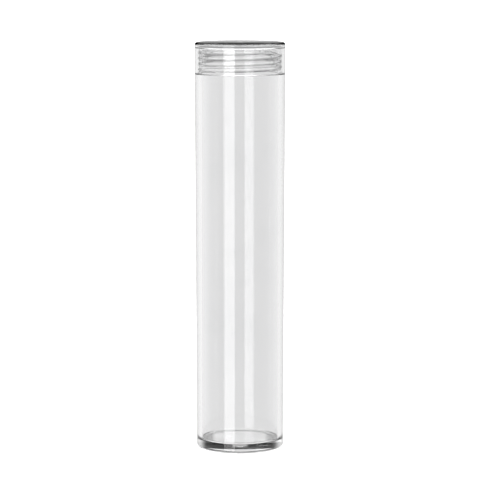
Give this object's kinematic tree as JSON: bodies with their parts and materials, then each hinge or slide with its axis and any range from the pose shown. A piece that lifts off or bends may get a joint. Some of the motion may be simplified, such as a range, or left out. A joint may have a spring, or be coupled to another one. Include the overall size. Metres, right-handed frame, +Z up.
{
  "type": "coin tube",
  "caption": "Clear round plastic tube for a stack of coins, with a threaded neck and a flush round screw lid that lifts off.",
  "frame": {"origin": "centre of the foot, on the plane that the tube stands on", "axes": "+Z up along the axis of the tube and of its lid; the ridge of the thread starts 150 degrees anticlockwise from +X"},
  "size_m": [0.03, 0.03, 0.135],
  "materials": {
    "tube_plastic": "clear, polished",
    "lid_plastic": "clear, polished"
  },
  "bodies": {
    "tube": {"tube_body": "tube_plastic"},
    "lid": {"screw_lid": "lid_plastic"}
  },
  "joints": [
    {"name": "lid_lift", "type": "slide", "parent": "tube", "child": "lid", "axis": [0, 0, 1], "range_m": [0, 0.04]}
  ]
}
